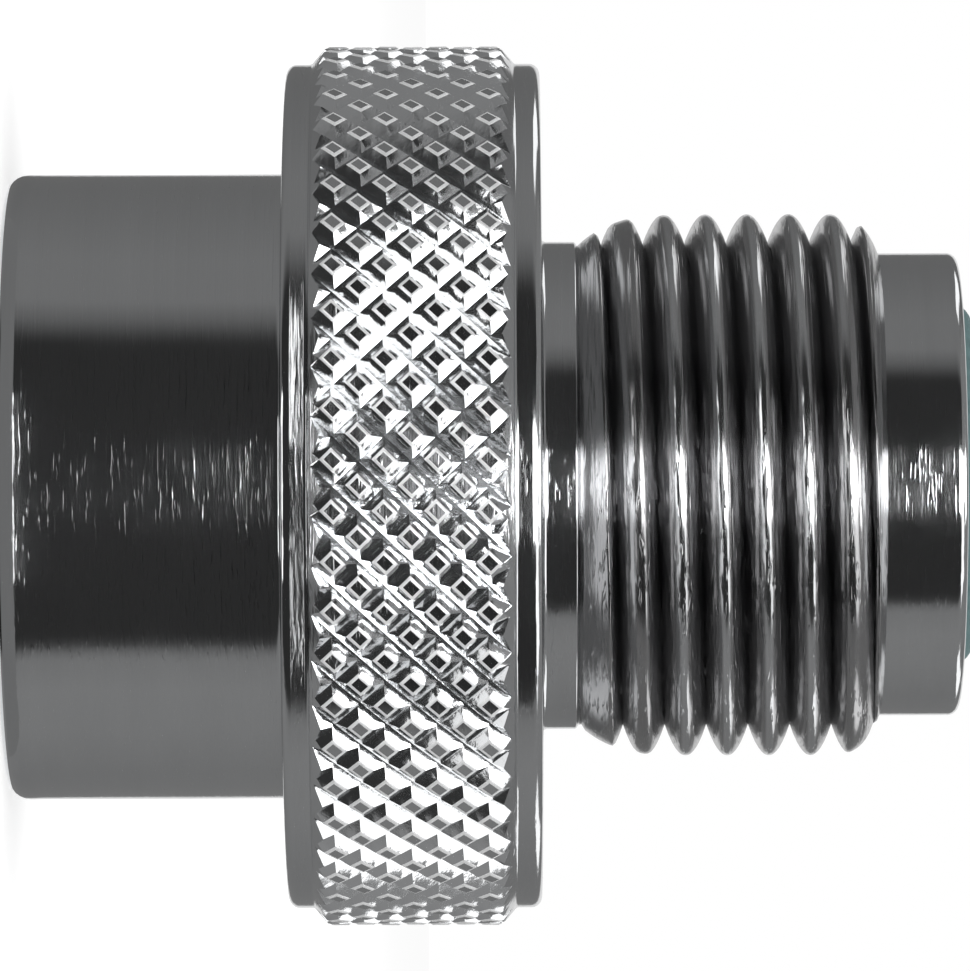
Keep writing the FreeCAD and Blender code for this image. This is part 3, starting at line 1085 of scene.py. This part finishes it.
# %% Surround and floor
FOOT_EDGE, LIGHT_EDGE = 0.0142, 0.0185
card("surround", -180, 180, (CARD_DISTANCE, 0), (CARD_DISTANCE, CARD_HEIGHT))
card("floor_surround", -180, 180, (FOOT_EDGE, 0.0002), (CARD_DISTANCE, 0.0002), turned_in=0.5)
card("floor_behind", 90, 270, (FOOT_EDGE, 0.0001), (CARD_DISTANCE, 0.0001), GREY)
card("floor_near", -60, 60, (FOOT_EDGE, 0.0003), (LIGHT_EDGE, 0.0003), GREY)
card("floor_light", -21, 21, (LIGHT_EDGE, 0.0003), (0.0215, 0.0003), 2.5)
card("ceiling", -180, 180, (CARD_DISTANCE, CARD_HEIGHT), (0.001, 1.36), 0.25)
print("Floor cards start", FOOT_EDGE, "m from the axis")

# %% [markdown]
# The bright cards do the drawing. Those in front, from just over eye level to high up, make the streaks
# along the thread and the edges. The high one on the right and the low shelves near the collar light the
# knurl's flanks, which see them straight or by way of the opposite flank.

# %% Bright cards
LOW_SHELF = 0.0132
raised("light_front", -16, 14, 8, 26, 6.0)
raised("light_over", -18, 16, 26, 70, 4.5, 0.95)
raised("light_above", 16, 72, 38, 64, 1.7)
raised("light_left", -143, -100, 20, 36, 1.5)
raised("light_right", 100, 143, 20, 36, 1.5)
card("shelf_left", -36, -8, (0.027, LOW_SHELF), (0.05, LOW_SHELF), 2.0)
card("shelf_right", 9, 36, (0.027, LOW_SHELF), (0.05, LOW_SHELF), 1.0)
card("shelf_far", -13, 11, (0.06, 0.0165), (0.2, 0.0165), 0.7)
card("shelf_under", -13, 11, (0.2, 0.0164), (0.06, 0.0164), 0.7)
card("light_top", -180, 180, (0.2, 1.34), (0.001, 1.345), 5.0)
print("Cards:", sum(1 for mesh in bpy.data.meshes if card_material.name in mesh.materials))

# %% [markdown]
# ## Lamps
#
# The lamps light what is dull: the rubber, the knurl's pale frames, whose paleness is a painted highlight,
# and the floor. The metal doesn't see them, since their hard shapes would show in it, and the cards take
# their place there.

# %% Lamps
def softbox(name, azimuth, elevation, distance, width, depth, power):
    """A soft lamp that looks at the adapter's middle."""
    lamp = bpy.data.lights.new(name, "AREA")
    lamp.shape = "RECTANGLE"
    lamp.size, lamp.size_y, lamp.energy = width, depth, power
    made = bpy.data.objects.new(name, lamp)
    bpy.context.scene.collection.objects.link(made)
    turn, rise = math.radians(azimuth), math.radians(elevation)
    back = Vector((math.sin(turn) * math.cos(rise), -math.cos(turn) * math.cos(rise), math.sin(rise)))
    made.location = back * distance + Vector((0, 0, EYE_LEVEL))
    made.rotation_mode = "QUATERNION"
    made.rotation_quaternion = back.to_track_quat("Z", "Y")
    made.visible_camera = made.visible_glossy = False


softbox("front_lamp", -2, 13, 1.2, 0.72, 0.36, 3.0)
softbox("left_lamp", -130, 28, 1.1, 0.6, 0.4, 1.9)
softbox("right_lamp", 130, 28, 1.1, 0.6, 0.4, 1.9)
softbox("top_lamp", 0, 62, 1.1, 0.8, 0.5, 3.0)
print("Lamps:", [item.name for item in bpy.data.lights])

# %% [markdown]
# ## Camera
#
# The photo shows the adapter lying on its side, seen square to its axis from about 0.4 m. The adapter stands
# here, so the camera lies on its side instead: its right is up along the axis. The scale is taken in the
# plane of the axis, and the rim's and the picture's middle column are given in the photo's own points.

# %% Set up the camera
CAMERA_DISTANCE = 0.415
PIXELS = 971
PIXELS_PER_MM = 20.8
RIM_COLUMN = 10.0
MIDDLE_COLUMN = 485.0
ROLL = math.radians(0.2)
SENSOR = 36.0

camera_data = bpy.data.cameras.new("camera")
camera_data.sensor_width = SENSOR
camera_data.lens = SENSOR * CAMERA_DISTANCE / (PIXELS / PIXELS_PER_MM * MM)
camera = bpy.data.objects.new("camera", camera_data)
bpy.context.scene.collection.objects.link(camera)
up_the_axis, to_the_left, backward = Vector((0, 0, 1)), Vector((-1, 0, 0)), Vector((0, -1, 0))
right = up_the_axis * math.cos(ROLL) - to_the_left * math.sin(ROLL)
up = up_the_axis * math.sin(ROLL) + to_the_left * math.cos(ROLL)
camera.matrix_world = Matrix.Translation((
    0, -CAMERA_DISTANCE, (MIDDLE_COLUMN - RIM_COLUMN) / PIXELS_PER_MM * MM,
)) @ Matrix((right, up, backward)).transposed().to_4x4()
camera_data.clip_start, camera_data.clip_end = 0.01, 20.0
bpy.context.scene.camera = camera
bpy.context.scene.view_settings.view_transform = "Standard"
print("Lens:", round(camera_data.lens, 1), "mm")

# %% [markdown]
# ## Sizes at the end
#
# Roundings only take metal away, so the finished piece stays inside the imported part's box. Both boxes are
# written down.

# %% Compare the sizes and finish
shown_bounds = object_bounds()
for name, box in (("packed part", cad_bounds), ("visual model", shown_bounds)):
    print(name, [[round(value * 1000, 3) for value in corner] for corner in box])
